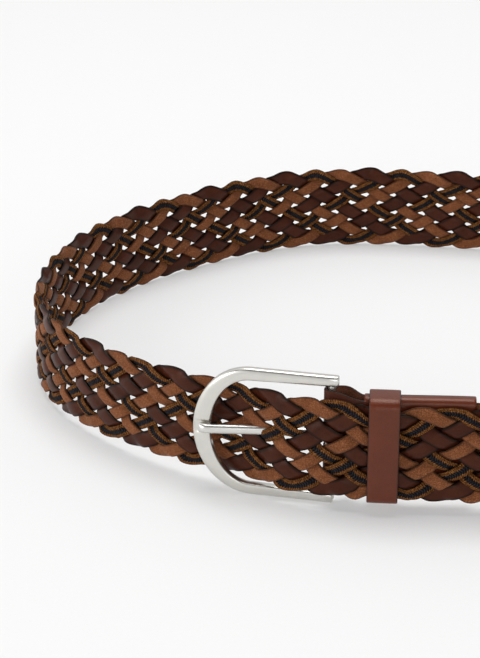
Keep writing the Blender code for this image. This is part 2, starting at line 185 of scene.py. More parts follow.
# A strand's section: how square its sides and faces are, and the ribs of the striped trim
SIDE_POWER = 0.55
FACE_POWER = 0.6
RIB_RISE = 0.16
RIB_MIDDLE = 0.72
RIB_PITCH = 0.56
RIB_START = 0.44

# The frame: its section from the outer side round the front to the inner side and the back, as shares of
# the half width (out is 1) and of the half depth (front is 1), and how its ends are rounded
FRAME_PROFILE = (
    (1.0, -0.70), (1.0, -0.1), (0.985, 0.24), (0.93, 0.45), (0.80, 0.64), (0.62, 0.80),
    (0.40, 0.91), (0.12, 0.98), (-0.2, 1.0), (-0.55, 0.99), (-0.80, 0.94), (-0.95, 0.78),
    (-1.0, 0.5), (-1.0, -0.55), (-0.93, -0.88), (-0.70, -1.0), (0.6, -1.0), (0.9, -0.92),
)
FRAME_END_WIDTH = 0.86
FRAME_END_DEPTH = 0.8
FRAME_END_BEVEL = 0.45
BOW_STEPS = 145
NOTCH_SOFTNESS = 0.7

# Sleeves: their corners as a share of the smaller half, and the bulge and share of their round rims
SLEEVE_CORNER = 0.8
RIM_BULGE = 0.25
RIM_SHARE = 0.2
FOLD_BEVEL = 0.3

# Finishes, with colours as sRGB from 0 to 255, but the metals' as linear shares
LEATHERS = (
    # (name, darker and lighter tone, roughness, grain's scale and strength, gloss, share darkened at the
    # edges: dyed cut edges and painted shade)
    ("dark_leather", (45, 19, 10), (78, 37, 23), 0.36, 1500.0, 0.12, 0.16, 0.45),
    ("brown_leather", (80, 29, 12), (98, 41, 21), 0.34, 2300.0, 0.35, 0.45, 0.10),
    # the fold: the chape's brown leather made darker, painted shade where the frame's arm shades it
    ("fold_leather_painted_shade", (60, 25, 14), (80, 36, 23), 0.45, 2300.0, 0.3, 0.2, 0.10),
)
FLESH_TONES = ((70, 38, 26), (98, 58, 42), (120, 76, 56))
SUEDE_TONES = ((82, 46, 26), (118, 70, 43), (154, 99, 66))
TRIM_EDGE_TONES = ((54, 30, 12), (108, 66, 30), (158, 104, 54))
TRIM_MIDDLE_TONES = ((9, 7, 7), (19, 17, 19), (48, 46, 52))
METALS = (
    # (name, colour, roughness, how far it is brushed)
    ("satin_nickel", (0.70, 0.685, 0.64), 0.32, 0.03),
    ("bright_nickel", (0.72, 0.71, 0.68), 0.33, 0.01),
)

# Studio: the world's strength all round, above the camera and on top at the left, and the soft lights
WORLD_ROUND = 0.7
WORLD_DIM = 0.06
WORLD_LEFT = 0.5
FLOOR_GLOW = 0.28
FLOOR_REACH = 6.0
FLOOR_TONES = (0.56, 0.57)
LIGHTS = (
    # (name, place, aim, size, watts)
    ("overhead", (-0.05, 0.25, 1.8), (-0.05, 0.0, 0.0), 1.2, 24.0),
    ("left", (-1.8, -0.9, 0.9), (-0.08, 0.0, 0.02), 1.0, 10.0),
    ("front", (0.15, -1.9, 0.75), (-0.02, -0.1, 0.03), 0.5, 4.0),
)
CAMERA_PLACE = (-0.0830, -0.71385, 0.3353)
CAMERA_DOWN = 24.2
LENS = 109.5
SENSOR = 36.0


def smooth(value):
    value = np.clip(value, 0.0, 1.0)
    return value * value * (3 - 2 * value)


# Loop

def closed_curve(points):
    """Dense points of the smooth closed curve through the given ones."""
    spans = np.sqrt(np.linalg.norm(np.roll(points, -1, axis=0) - points, axis=1))
    count = len(points)
    system = np.zeros((count, count))
    bends = np.zeros_like(points)
    for i in range(count):
        before, after, following = spans[i - 1], spans[i], (i + 1) % count
        system[i, i - 1] += before
        system[i, i] += 2 * (before + after)
        system[i, following] += after
        bends[i] = 6 * ((points[following] - points[i]) / after - (points[i] - points[i - 1]) / before)
    curvature = np.linalg.solve(system, bends)
    pieces = []
    for i in range(count):
        span, following = spans[i], (i + 1) % count
        t = np.linspace(0, span, SAMPLES_PER_SPAN, endpoint=False)[:, None]
        ease = (curvature[i] * (span - t) ** 3 + curvature[following] * t ** 3) / (6 * span)
        start = (points[i] / span - curvature[i] * span / 6) * (span - t)
        end = (points[following] / span - curvature[following] * span / 6) * t
        pieces.append(ease + start + end)
    return np.concatenate(pieces)


class Loop:
    """The band's middle line seen from above, by its length from the buckle's bar, in mm."""

    def __init__(self):
        curve = closed_curve(np.array(PLAN))
        low, high = curve.min(axis=0), curve.max(axis=0)
        points = (curve - (low + high) / 2) / (high - low) * np.array((LOOP_LENGTH, LOOP_DEPTH))
        points[:, 1] += TIP_PROUD / 2
        steps = np.linalg.norm(np.roll(points, -1, axis=0) - points, axis=1)
        self.stations = np.concatenate(([0.0], np.cumsum(steps)))
        self.points = np.vstack((points, points[:1]))
        self.length = self.stations[-1]

    def middle(self, station):
        wrapped = np.asarray(station, float) % self.length
        return np.stack([np.interp(wrapped, self.stations, self.points[:, axis]) for axis in (0, 1)], -1)

    def forward(self, station):
        station = np.asarray(station, float)
        step = self.middle(station + 1) - self.middle(station - 1)
        return step / np.linalg.norm(step, axis=-1, keepdims=True)

    def inward(self, station):
        forward = self.forward(station)
        return np.stack((-forward[..., 1], forward[..., 0]), -1)

    def at(self, station, inward, height):
        """Points in metres."""
        plan = self.middle(station) + self.inward(station) * np.asarray(inward, float)[..., None]
        height = np.broadcast_to(height, plan.shape[:-1])
        return np.concatenate((plan, height[..., None]), -1) * MM

    def from_bar(self, station):
        wrapped = np.asarray(station, float) % self.length
        return np.where(wrapped < self.length / 2, wrapped, wrapped - self.length)

    def lift(self, station):
        away = np.abs(self.from_bar(station)) - LIFT_FLAT
        return BAND_LIFT * (1 - smooth(away / LIFT_REACH))


LOOP = Loop()
WEAVE_PHASE = LOOP.length - DARK_TURN


def from_bow(station):
    return np.abs(LOOP.from_bar(station) + BOW_CROSSING)


def layer_offset(station):
    inner_layer = LAYER_STEP * (1 - smooth((station - TIP_END - CLEARANCE) / (LAYERS_MEET - TIP_END)))
    return inner_layer + BOW_DIP * (1 - smooth(from_bow(station) / DIP_REACH))


def in_chape(station):
    return 1 - smooth((station - CHAPE_END) / SQUEEZE_RUN)


def edge_squeeze(station):
    sleeved = (BAND_WIDTH - SLEEVED_WIDTH) / 2
    chape = sleeved * in_chape(station)
    tip = sleeved * smooth((station - (LOOP.length + TIP_START - SQUEEZE_RUN)) / SQUEEZE_RUN)
    past_keeper = np.abs(station - LOOP.length - KEEPER_STATION) - KEEPER_LENGTH / 2
    keeper = KEEPER_SQUEEZE * (1 - smooth(past_keeper / KEEPER_SQUEEZE_RUN))
    bow = BOW_SQUEEZE * (1 - smooth(from_bow(station) / BOW_SQUEEZE_REACH))
    return np.maximum(np.maximum(chape, tip), np.maximum(keeper, bow))


def band_point(station, down, out):
    """A point of the band: how far along, below its upper edge and out of its middle."""
    half = BAND_WIDTH / 2
    scale = (half - edge_squeeze(station)) / half
    middle = LOOP.lift(station) + half + CHAPE_RISE * in_chape(station)
    # the upper edge bulges a little where the outer layer passes the bar
    past_bar = np.abs(station - LOOP.length - BAR_RISE_MIDDLE)
    bulge = BAR_RISE * (1 - smooth(past_bar / BAR_RISE_REACH))
    upper_share = np.clip(1 - down / BAND_WIDTH, 0.0, 1.0)
    height = middle + (half - down) * scale + bulge * upper_share
    return LOOP.at(station, layer_offset(station) - out, height)


# Materials

def new_material(name):
    made = bpy.data.materials.new(name)
    made.use_nodes = True
    tree = made.node_tree
    return made, tree, tree.nodes["Principled BSDF"]


def feed(tree, socket, value):
    """Links a node's output to a socket, or sets a plain value there."""
    if isinstance(value, bpy.types.NodeSocket):
        tree.links.new(value, socket)
    elif value is not None:
        socket.default_value = value


def node(tree, kind, settings=None, **inputs):
    made = tree.nodes.new(kind)
    for key, value in (settings or {}).items():
        setattr(made, key, value)
    for key, value in inputs.items():
        feed(tree, made.inputs[key.replace("_", " ")], value)
    return made


def ramp(tree, factor, stops):
    made = tree.nodes.new("ShaderNodeValToRGB")
    elements = made.color_ramp.elements
    while len(elements) < len(stops):
        elements.new(0.5)
    for element, (position, colour) in zip(elements, stops):
        element.position = position
        element.color = (*colour, 1.0)
    tree.links.new(factor, made.inputs["Fac"])
    return made.outputs["Color"]


def math_node(tree, operation, a, b=None, c=None):
    made = tree.nodes.new("ShaderNodeMath")
    made.operation = operation
    for socket, value in zip(made.inputs, (a, b, c)):
        feed(tree, socket, value)
    return made.outputs[0]


def eased(tree, value, start, end, low=0.0, high=1.0):
    """A smooth step from low to high, while the value runs from start to end."""
    made = node(tree, "ShaderNodeMapRange", {"interpolation_type": "SMOOTHSTEP"}, Value=value)
    for key, number in (("From Min", start), ("From Max", end), ("To Min", low), ("To Max", high)):
        made.inputs[key].default_value = number
    return made.outputs["Result"]


def blended(tree, factor, a, b, blend="MIX"):
    """A mix of two colours."""
    made = node(tree, "ShaderNodeMix", {"data_type": "RGBA", "blend_type": blend})
    for index, value in ((0, factor), (6, a), (7, b)):
        feed(tree, made.inputs[index], value)
    return made.outputs[2]


def bump(tree, height, strength, distance):
    made = node(tree, "ShaderNodeBump", Height=height, Strength=strength, Distance=distance)
    return made.outputs["Normal"]


def object_space(tree):
    return tree.nodes.new("ShaderNodeTexCoord").outputs["Object"]


def uv_parts(tree):
    """The UV map's two numbers: along a piece, and from -1 to 1 across it."""
    uv = tree.nodes.new("ShaderNodeUVMap").outputs["UV"]
    parts = node(tree, "ShaderNodeSeparateXYZ", Vector=uv)
    return parts.outputs["X"], parts.outputs["Y"]


def linear(r, g, b):
    """Linear colour of an sRGB one given in 0 to 255."""
    out = []
    for value in (r, g, b):
        share = value / 255
        out.append(share / 12.92 if share <= 0.04045 else ((share + 0.055) / 1.055) ** 2.4)
    return tuple(out)


def three_tones(tree, factor, positions, tones):
    return ramp(tree, factor, [(position, linear(*tone)) for position, tone in zip(positions, tones)])


def grained_leather(name, dark, light, roughness, grain_scale, grain_strength, gloss, dark_edge_and_shade_share):
    """Smooth leather. The last argument is how far in from its cut edges the leather darkens, as a share:
    partly the dark dye of real cut edges, partly painted shade on the rounded sides of the strands.
    """
    made, tree, shader = new_material(name)
    dark, light = linear(*dark), linear(*light)
    place = object_space(tree)
    clouds = node(tree, "ShaderNodeTexNoise", Vector=place, Scale=110.0, Detail=5.0, Roughness=0.6)
    grain = node(tree, "ShaderNodeTexVoronoi", Vector=place, Scale=grain_scale)
    pores = node(
        tree, "ShaderNodeTexNoise", Vector=place, Scale=grain_scale * 1.6, Detail=3.0, Roughness=0.7)
    cloudy = math_node(tree, "MULTIPLY", clouds.outputs["Fac"], 0.65)
    mottle = math_node(tree, "MULTIPLY_ADD", pores.outputs["Fac"], 0.35, cloudy)
    colour = ramp(tree, mottle, ((0.3, dark), (0.7, light)))
    side = math_node(tree, "ABSOLUTE", uv_parts(tree)[1])
    # darker towards the edges: dyed cut edges, and on the strands painted shade where their rounded sides
    # turn from the light
    edge_dye_and_shade = eased(tree, side, 1 - dark_edge_and_shade_share, 0.98)
    edge_colour = (*(c * 0.22 for c in dark), 1.0)
    tree.links.new(blended(tree, edge_dye_and_shade, colour, edge_colour), shader.inputs["Base Color"])
    rough = math_node(tree, "MULTIPLY_ADD", pores.outputs["Fac"], 0.2, roughness - 0.1)
    tree.links.new(rough, shader.inputs["Roughness"])
    heights = math_node(tree, "ADD", grain.outputs["Distance"], pores.outputs["Fac"])
    tree.links.new(bump(tree, heights, grain_strength, 0.0001), shader.inputs["Normal"])
    shader.inputs["Specular IOR Level"].default_value = gloss
    shader.inputs["Specular Tint"].default_value = (1.0, 0.78, 0.66, 1.0)
    return made


def painted_edge_shade(tree, colour, start, least):
    """The colour, dimmed towards both edges of a strand from this place across it on: painted shade where
    the strand's rounded sides turn from the light and where it lies against other strands.
    """
    side = math_node(tree, "ABSOLUTE", uv_parts(tree)[1])
    shade = eased(tree, side, start, 1.0, 1.0, least)
    return blended(tree, 1.0, colour, shade, "MULTIPLY")


def suede(name, tones):
    made, tree, shader = new_material(name)
    place = object_space(tree)
    patches = node(tree, "ShaderNodeTexNoise", Vector=place, Scale=160.0, Detail=5.0, Roughness=0.65)
    nap = node(tree, "ShaderNodeTexNoise", Vector=place, Scale=2500.0, Detail=2.0, Roughness=0.8)
    patchy = math_node(tree, "MULTIPLY", patches.outputs["Fac"], 0.25)
    mixed = math_node(tree, "MULTIPLY_ADD", nap.outputs["Fac"], 0.75, patchy)
    colour = three_tones(tree, mixed, (0.34, 0.5, 0.66), tones)
    # painted shade: darker towards the edges of the rounded strand
    tree.links.new(painted_edge_shade(tree, colour, 0.7, 0.3), shader.inputs["Base Color"])
    shader.inputs["Roughness"].default_value = 0.9
    shader.inputs["Specular IOR Level"].default_value = 0.08
    shader.inputs["Sheen Weight"].default_value = 0.12
    shader.inputs["Sheen Tint"].default_value = (1.0, 0.8, 0.62, 1.0)
    shader.inputs["Sheen Roughness"].default_value = 0.5
    tree.links.new(bump(tree, nap.outputs["Fac"], 0.5, 0.00015), shader.inputs["Normal"])
    return made


def trim(name, edge_tones, middle_tones):
    """Woven trim: two gold-brown cords along its edges and a dark stitched middle."""
    made, tree, shader = new_material(name)
    along, across = uv_parts(tree)
    side = math_node(tree, "ABSOLUTE", across)

    def ridges(per_mm, slant):
        leaning = math_node(tree, "MULTIPLY", side, slant)
        return math_node(tree, "SINE", math_node(tree, "MULTIPLY_ADD", along, per_mm, leaning))

    # twist of the edge cords and stitches of the middle, both as slanted ridges
    cord = ridges(9.5, 7.0)
    chain = ridges(7.0, 8.0)
    fuzz = node(
        tree, "ShaderNodeTexNoise", Vector=object_space(tree), Scale=1400.0, Detail=3.0, Roughness=0.7)
    colours = []
    for ridge, strength, tones in ((cord, 0.08, edge_tones), (chain, 0.14, middle_tones)):
        tone = math_node(tree, "MULTIPLY_ADD", ridge, strength, fuzz.outputs["Fac"])
        colours.append(three_tones(tree, tone, (0.3, 0.5, 0.72), tones))
    gold, dark = colours
    # ragged line between the middle and the edge cords
    ragged = math_node(tree, "MULTIPLY_ADD", chain, 0.09, side)
    edge = eased(tree, ragged, 0.38, 0.46)
    colour = blended(tree, edge, dark, gold)
    # painted shade: a dark line inside each edge cord, in the groove between its two thin ribs
    from_line = math_node(tree, "ABSOLUTE", math_node(tree, "SUBTRACT", side, 0.72))
    groove = eased(tree, from_line, 0.0, 0.08, 0.45, 1.0)
    groove_shaded = blended(tree, 1.0, colour, groove, "MULTIPLY")
    # painted shade: darker towards the trim's edges
    tree.links.new(painted_edge_shade(tree, groove_shaded, 0.88, 0.25), shader.inputs["Base Color"])
    shader.inputs["Roughness"].default_value = 0.8
    shader.inputs["Specular IOR Level"].default_value = 0.1
    relief = node(tree, "ShaderNodeMix", {"data_type": "FLOAT"}, Factor=edge, A=chain, B=cord)
    height = math_node(tree, "MULTIPLY", relief.outputs[0], groove)
    tree.links.new(bump(tree, height, 0.7, 0.00018), shader.inputs["Normal"])
    return made


def metal(name, colour, roughness, brushed):
    made, tree, shader = new_material(name)
    place = object_space(tree)
    haze = node(tree, "ShaderNodeTexNoise", Vector=place, Scale=220.0, Detail=4.0, Roughness=0.6)
    stretch = node(tree, "ShaderNodeMapping", Vector=place)
    stretch.inputs["Scale"].default_value = (120.0, 120.0, 2600.0)
    lines = node(tree, "ShaderNodeTexNoise", Vector=stretch.outputs["Vector"], Scale=1.0, Detail=4.0)
    tone = ramp(tree, haze.outputs["Fac"], ((0.3, tuple(c * 0.94 for c in colour)), (0.7, colour)))
    tree.links.new(tone, shader.inputs["Base Color"])
    shader.inputs["Metallic"].default_value = 1.0
    rough = math_node(tree, "MULTIPLY_ADD", lines.outputs["Fac"], brushed, roughness - brushed / 2)
    tree.links.new(rough, shader.inputs["Roughness"])
    tree.links.new(bump(tree, lines.outputs["Fac"], 0.08 * brushed / 0.1, 0.00005), shader.inputs["Normal"])
    return made


# Mesh helpers

def grid_object(name, rows, finish, uv_rows=None, closed=False):
    """Skin rows of rings, each an array of points, into a smooth mesh with a UV map."""
    rows = np.asarray(rows, float)
    count, ring = rows.shape[:2]
    vertices = rows.reshape(-1, 3)
    faces = []
    last = count if closed else count - 1
    for i in range(last):
        j = (i + 1) % count
        for k in range(ring):
            m = (k + 1) % ring
            faces.append((i * ring + k, i * ring + m, j * ring + m, j * ring + k))
    if not closed:
        faces.append(tuple(range(ring))[::-1])
        faces.append(tuple((count - 1) * ring + k for k in range(ring)))
    mesh = bpy.data.meshes.new(name)
    mesh.from_pydata([tuple(v) for v in vertices], [], faces)
    builder = bmesh.new()
    builder.from_mesh(mesh)
    bmesh.ops.recalc_face_normals(builder, faces=builder.faces)
    builder.to_mesh(mesh)
    builder.free()
    mesh.polygons.foreach_set("use_smooth", np.ones(len(mesh.polygons), bool))
    mesh.set_sharp_from_angle(angle=math.radians(55))
    if uv_rows is not None:
        uv = np.asarray(uv_rows, float).reshape(-1, 2)
        layer = mesh.uv_layers.new(name="UVMap")
        index = np.empty(len(mesh.loops), int)
        mesh.loops.foreach_get("vertex_index", index)
        layer.data.foreach_set("uv", uv[index].ravel())
    mesh.materials.append(finish)
    made = bpy.data.objects.new(name, mesh)
    bpy.context.scene.collection.objects.link(made)
    return made


def settle(made, slot, *nodes):
    """Rides on the one body and stands for these nodes."""
    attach(made, "root")
    if nodes:
        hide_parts(*nodes)
    return made


# Strands

def log_cosh(value, sharpness):
    """A smooth absolute value."""
    scaled = np.abs(sharpness * value)
    return (scaled + np.log1p(np.exp(-2 * scaled))) / sharpness


def wave(value):
    """Square-shouldered cosine, 1 at even whole numbers and -1 at odd ones."""
    return np.tanh(WEAVE_SQUARENESS * np.cos(np.pi * value)) / math.tanh(WEAVE_SQUARENESS)


def strand_line(x, number, sharpness, lean, bulge):
    """How far down the band a strand's middle lies, in rows, at a place along the weave in pitches."""
    turn = (x - number) % STRANDS
    turn = np.where(turn > STRANDS * 0.75, turn - STRANDS, turn)
    leaning = turn - lean * np.exp(-(turn / LEAN_REACH) ** 2)
    upper = log_cosh(2 * leaning, sharpness) - bulge * np.exp(-(turn / BULGE_REACH) ** 2)
    lower = STRANDS - log_cosh(2 * (turn - STRANDS / 2), sharpness)
    return np.where(turn < STRANDS / 4, upper, lower), turn


def section(half_width, thickness, edge, kind):
    """Points of a strand's section: across it, out of it, and their place from -1 to 1 across."""
    points = []
    for i in range(SIDES):
        angle = 2 * math.pi * (i + 0.5) / SIDES
        across = math.copysign(abs(math.cos(angle)) ** SIDE_POWER, math.cos(angle))
        crown = edge + (thickness - edge) * (1 - across * across)
        out = math.copysign(abs(math.sin(angle)) ** FACE_POWER, math.sin(angle)) * crown / 2
        if kind == "striped" and abs(across) > RIB_START:
            out *= 1 + RIB_RISE * math.cos(2 * math.pi * (abs(across) - RIB_MIDDLE) / RIB_PITCH)
        points.append((across * half_width, out, across))
    return np.array(points)


def strand(number, finish):
    kind, half_width, thickness, edge, sharpness, lean, bulge = STRAND_KINDS[number % 3]
    first = (BAND_START - WEAVE_PHASE) / STRAND_PITCH
    last = (LOOP.length + TIP_START + TIP_POCKET - WEAVE_PHASE) / STRAND_PITCH
    x = np.linspace(first, last, int((last - first) * STEPS_PER_PITCH))
    row, turn = strand_line(x, number, sharpness, lean, bulge)
    row_height = BAND_WIDTH / STRANDS
    station = WEAVE_PHASE + x * STRAND_PITCH
    down = row * row_height
    tangent = np.stack((np.gradient(station), np.gradient(down)), -1)
    lengths = np.linalg.norm(tangent, axis=-1)
    along = np.cumsum(lengths)
    tangent /= lengths[:, None]
    shape = section(half_width, thickness, edge, kind)
    u = station[:, None] - tangent[:, 1:2] * shape[None, :, 0]
    v = down[:, None] + tangent[:, 0:1] * shape[None, :, 0]
    px = (u - WEAVE_PHASE) / STRAND_PITCH
    py = v / row_height
    out = WEAVE_HEIGHT * weave_height_at(px, py, x, turn, number) + shape[None, :, 1]
    rows = band_point(u, v, out)
    uv = np.stack(np.broadcast_arrays(along[:, None], shape[None, :, 2]), -1)
    return grid_object(f"strand_{kind}_{number + 1}", rows, finish, uv)


def weave_height_at(px, py, x, turn, number):
    """The weave's height at each point of a ring, whose middle is at x with its turn."""
    lap = np.round((x - turn - number) / STRANDS) * STRANDS + number
    lap = lap[:, None]
    local = turn[:, None]
    p = px - py / 2
    q = px + py / 2
    falling = -wave(q - lap)
    rising_before = wave(lap - p)
    rising_after = wave(lap + STRANDS - p)
    top = smooth((local + TURN_BLEND) / (2 * TURN_BLEND))
    bottom = smooth((local - STRANDS / 2 + TURN_BLEND) / (2 * TURN_BLEND))
    at_top = rising_before * (1 - top) + falling * top
    at_bottom = falling * (1 - bottom) + rising_after * bottom
    return np.where(local < STRANDS / 4, at_top, at_bottom)


# Buckle

def place_on_bar(made):
    place = LOOP.at(0.0, BAR_INWARD, FRAME_HEIGHT / 2)
    made.location = Vector(place)
    made.rotation_euler.z = math.pi + FRAME_TURN


def frame_rows():
    """Rings of the frame along its horseshoe: outer and inner edge, and its bevelled section."""
    bow_centre = FRAME_LENGTH - UPPER_OVERHANG - BOW_REACH
    half = FRAME_HEIGHT / 2
    pairs = []

    def arm(overhang, sign):
        made = []
        for share in np.linspace(0, 1, 8)[:-1]:
            along = -overhang + (bow_centre + overhang) * share
            width = ARM_END_WIDTH + (ARM_WIDTH - ARM_END_WIDTH) * share
            made.append(((along, sign * half), (along, sign * (half - width))))
        return made

    pairs += arm(UPPER_OVERHANG, 1)
    for angle in np.linspace(math.pi / 2, -math.pi / 2, BOW_STEPS):
        c, s = math.cos(angle), math.sin(angle)
        outer = (bow_centre + BOW_REACH * c, half * s)
        inner = (bow_centre + (BOW_REACH - BOW_WIDTH) * c, (half - ARM_WIDTH) * s)
        pairs.append((outer, inner))
    pairs += arm(LOWER_OVERHANG, -1)[::-1]
    rows = []
    last = len(pairs) - 1
    for i, (outer, inner) in enumerate(pairs):
        outer, inner = np.array(outer), np.array(inner)
        middle, across = (outer + inner) / 2, (outer - inner) / 2
        # a shallow notch in the bow, where the prong rests
        notch = 0.0
        if middle[0] > bow_centre:
            past_notch = abs(middle[1] - PRONG_RISE) - NOTCH_HALF
            notch = NOTCH_DEPTH * (1 - float(smooth(past_notch / NOTCH_SOFTNESS)))
        ring = []
        for a, d in FRAME_PROFILE:
            sunk = notch if d > 0.5 and a < 0.7 else 0.0
            ring.append((middle[0] + across[0] * a, FRAME_DEPTH / 2 * d - sunk, middle[1] + across[1] * a))
        if i not in (0, last):
            rows.append(ring)
            continue
        # each end is bevelled: a smaller ring, then this one drawn in a little
        ahead = np.array(pairs[1 if i == 0 else last - 1][0]) - outer
        bevel = ahead / np.linalg.norm(ahead) * FRAME_END_BEVEL
        drawn_in = [(px + bevel[0], py, pz + bevel[1]) for px, py, pz in ring]
        small = [
            (middle[0] + across[0] * a * FRAME_END_WIDTH, FRAME_DEPTH / 2 * d * FRAME_END_DEPTH,
             middle[1] + across[1] * a * FRAME_END_WIDTH) for a, d in FRAME_PROFILE]
        rows += [small, drawn_in] if i == 0 else [drawn_in, small]
    return np.array(rows) * MM


def buckle(finish):
    made = grid_object("buckle_frame_satin", frame_rows(), finish)
    place_on_bar(made)
    settle(made, "satin_metal", "buckle_frame")
    rows = []
    for height in np.linspace(-1, 1, 12) * (FRAME_HEIGHT - ARM_END_WIDTH) / 2:
        angles = np.linspace(0, 2 * math.pi, 24, endpoint=False)
        rows.append([(BAR_RADIUS * math.cos(a), BAR_RADIUS * math.sin(a), height) for a in angles])
    bar = grid_object("buckle_bar", np.array(rows) * MM, finish)
    place_on_bar(bar)
    settle(bar, "satin_metal")


def prong(finish):
    """A round bar: its eye on the buckle's bar, its shank through the weave, its tip on the bow."""
    eye_radius = BAR_RADIUS + CLEARANCE + PRONG_EYE_HALF
    rest = np.array((FRAME_LENGTH - UPPER_OVERHANG - BOW_WIDTH / 2 - PRONG_BACKSET,
                     FRAME_DEPTH / 2 + CLEARANCE + PRONG_SHANK_HALF - NOTCH_DEPTH))
    points = []
    for angle in np.linspace(*PRONG_EYE_TURNS, 30):
        points.append((math.cos(angle) * eye_radius, math.sin(angle) * eye_radius, PRONG_EYE_HALF))
    start = np.array(points[-1][:2])
    for share in np.linspace(0, 1, 31)[1:]:
        half = PRONG_EYE_HALF + (PRONG_SHANK_HALF - PRONG_EYE_HALF) * float(smooth(share / PRONG_SWELL))
        place = start + (rest - start) * share
        points.append((place[0], place[1] - PRONG_DIVE * math.sin(math.pi * share) ** 2, half))
    for turn in np.linspace(0, PRONG_TIP_TURN, 12)[1:]:
        share = math.sin(turn)
        tip = rest + np.array((PRONG_TIP_REACH, -PRONG_DROP)) * share
        points.append((*tip, PRONG_SHANK_HALF * math.cos(turn)))
    points = np.array(points)
    along = np.gradient(points[:, :2], axis=0)
    along /= np.linalg.norm(along, axis=1, keepdims=True)
    angles = np.linspace(0, 2 * math.pi, PRONG_SIDES, endpoint=False)
    rows = []
    for (x, y, half), (dx, dy) in zip(points, along):
        half_height = min(PRONG_HALF_HEIGHT, PRONG_HALF_HEIGHT * half / PRONG_EYE_HALF)
        out = half * np.cos(angles)
        rows.append(np.stack((x - dy * out, y + dx * out, half_height * np.sin(angles) + PRONG_RISE), -1))
    made = grid_object("buckle_prong_polished", np.array(rows) * MM, finish)
    place_on_bar(made)
    settle(made, "bright_metal", "buckle_prong")


# Smooth leather pieces

def rounded_outline(half_width, half_height, top_radius, foot_radius, steps):
    """Points of a rectangle with round corners, counterclockwise."""
    points = []
    for quarter, (sign_x, sign_y) in enumerate(((1, 1), (-1, 1), (-1, -1), (1, -1))):
        radius = top_radius if sign_y > 0 else foot_radius
        centre_x, centre_y = sign_x * (half_width - radius), sign_y * (half_height - radius)
        for step in range(steps):
            angle = math.pi / 2 * (quarter + step / (steps - 1))
            points.append((centre_x + radius * math.cos(angle), centre_y + radius * math.sin(angle)))
    return np.array(points)


def keeper(finish):
    inner_front = -BAND_THICKNESS / 2 - KEEPER_CLEARANCE
    inner_back = CHAPE_FRONT + CHAPE_DEPTH + KEEPER_CLEARANCE
    lift = float(LOOP.lift(KEEPER_STATION))
    inner_low = min(lift + KEEPER_SQUEEZE, CHAPE_MIDDLE - CHAPE_HEIGHT / 2) - CLEARANCE
    inner_high = CHAPE_MIDDLE + CHAPE_HEIGHT / 2 + CLEARANCE
    half_depth = (inner_back - inner_front) / 2 + KEEPER_LEATHER / 2
    half_height = (inner_high - inner_low) / 2 + KEEPER_LEATHER / 2
    path = rounded_outline(half_depth, half_height, KEEPER_TOP_CORNER, KEEPER_FOOT_CORNER, 12)
    filled = []
    for here, following in zip(path, np.roll(path, -1, axis=0)):
        pieces = max(1, int(np.linalg.norm(following - here) / KEEPER_GRID))
        for share in np.arange(pieces) / pieces:
            filled.append(here + (following - here) * share)
    path = np.array(filled)
    ahead, behind = np.roll(path, -1, axis=0), np.roll(path, 1, axis=0)
    along = (ahead - behind) / np.linalg.norm(ahead - behind, axis=1, keepdims=True)
    outward = np.stack((along[:, 1], -along[:, 0]), -1)
    half, thick = KEEPER_LENGTH / 2, KEEPER_LEATHER / 2
    profile = [
        (share * half - math.copysign(back, share), thick * out) for share, back, out in KEEPER_PROFILE]
    middle = (inner_front + inner_back) / 2
    centre_height = (inner_low + inner_high) / 2
    rows, uv = [], []
    base = LOOP.middle(KEEPER_STATION)
    forward, inward = LOOP.forward(KEEPER_STATION), LOOP.inward(KEEPER_STATION)
    for i, (point, normal) in enumerate(zip(path, outward)):
        ring, ring_uv = [], []
        for s, t in profile:
            depth = middle + point[0] + normal[0] * t
            height = centre_height + point[1] + normal[1] * t
            plan = base + forward * s + inward * depth
            ring.append((plan[0], plan[1], height))
            ring_uv.append((i, s / half))
        rows.append(ring)
        uv.append(ring_uv)
    made = grid_object("keeper_leather", np.array(rows) * MM, finish, uv, closed=True)
    settle(made, "smooth_leather", "keeper")


def sleeve_rows(stations, inward, middle, half_depth, half_heights):
    rows, uv = [], []
    for station, half_height in zip(stations, half_heights):
        radius = min(half_depth, half_height) * SLEEVE_CORNER
        outline = rounded_outline(half_depth, half_height, radius, radius, 8)
        count = len(outline)
        # a darker line along the top: the leather's cut edge, widened over the top rounding as painted shade
        # where the bright back would be reflected
        edge_and_shade_line = np.zeros(count)
        edge_and_shade_line[5:8] = 1.0
        where = np.full(count, station)
        rows.append(LOOP.at(where, inward + outline[:, 0], middle(station) + outline[:, 1]))
        uv.append(np.stack((where, edge_and_shade_line), -1))
    return rows, uv


def sleeve(name, stations, pocket, inward, middle, half_depth, wall, half_height_at, finish):
    """A soft-cornered sleeve with round rims. A pocket that stops short leaves the far end closed."""
    heights = [half_height_at(s) for s in stations]
    outer, outer_uv = sleeve_rows(stations, inward, middle, half_depth, heights)
    heights = [half_height_at(s) - wall for s in pocket]
    inner, _ = sleeve_rows(pocket, inward, middle, half_depth - wall, heights)
    through = pocket[-1] == stations[-1]
    rims = []
    for k, step in ((0, RIM_BULGE), (-1, -RIM_BULGE)):
        nudge = np.zeros(3)
        nudge[:2] = LOOP.forward(stations[k]) * step * MM
        near_outer = outer[k] * (1 - RIM_SHARE) + inner[k] * RIM_SHARE
        near_inner = outer[k] * RIM_SHARE + inner[k] * (1 - RIM_SHARE)
        rims.append((outer[k] + nudge, near_outer, near_inner, inner[k] + nudge))
    start, end = rims
    start_rows = [start[3], start[2], start[1], start[0]]
    if not through:
        return grid_object(name, [inner[-1], *inner[1:-1][::-1], *start_rows, *outer[1:]], finish)
    rows = [start[1], start[0], *outer[1:-1], *end, *inner[1:-1][::-1], start[3], start[2]]
    uv = [np.zeros((len(row), 2)) for row in rows]
    for k in range(2, len(outer)):
        uv[k] = outer_uv[k - 1]
    # the rims count as cut edges
    for k in (0, len(outer) + 1, len(outer) + 2, len(rows) - 1):
        uv[k][:, 1] = 1.0
    return grid_object(name, rows, finish, uv, closed=True)


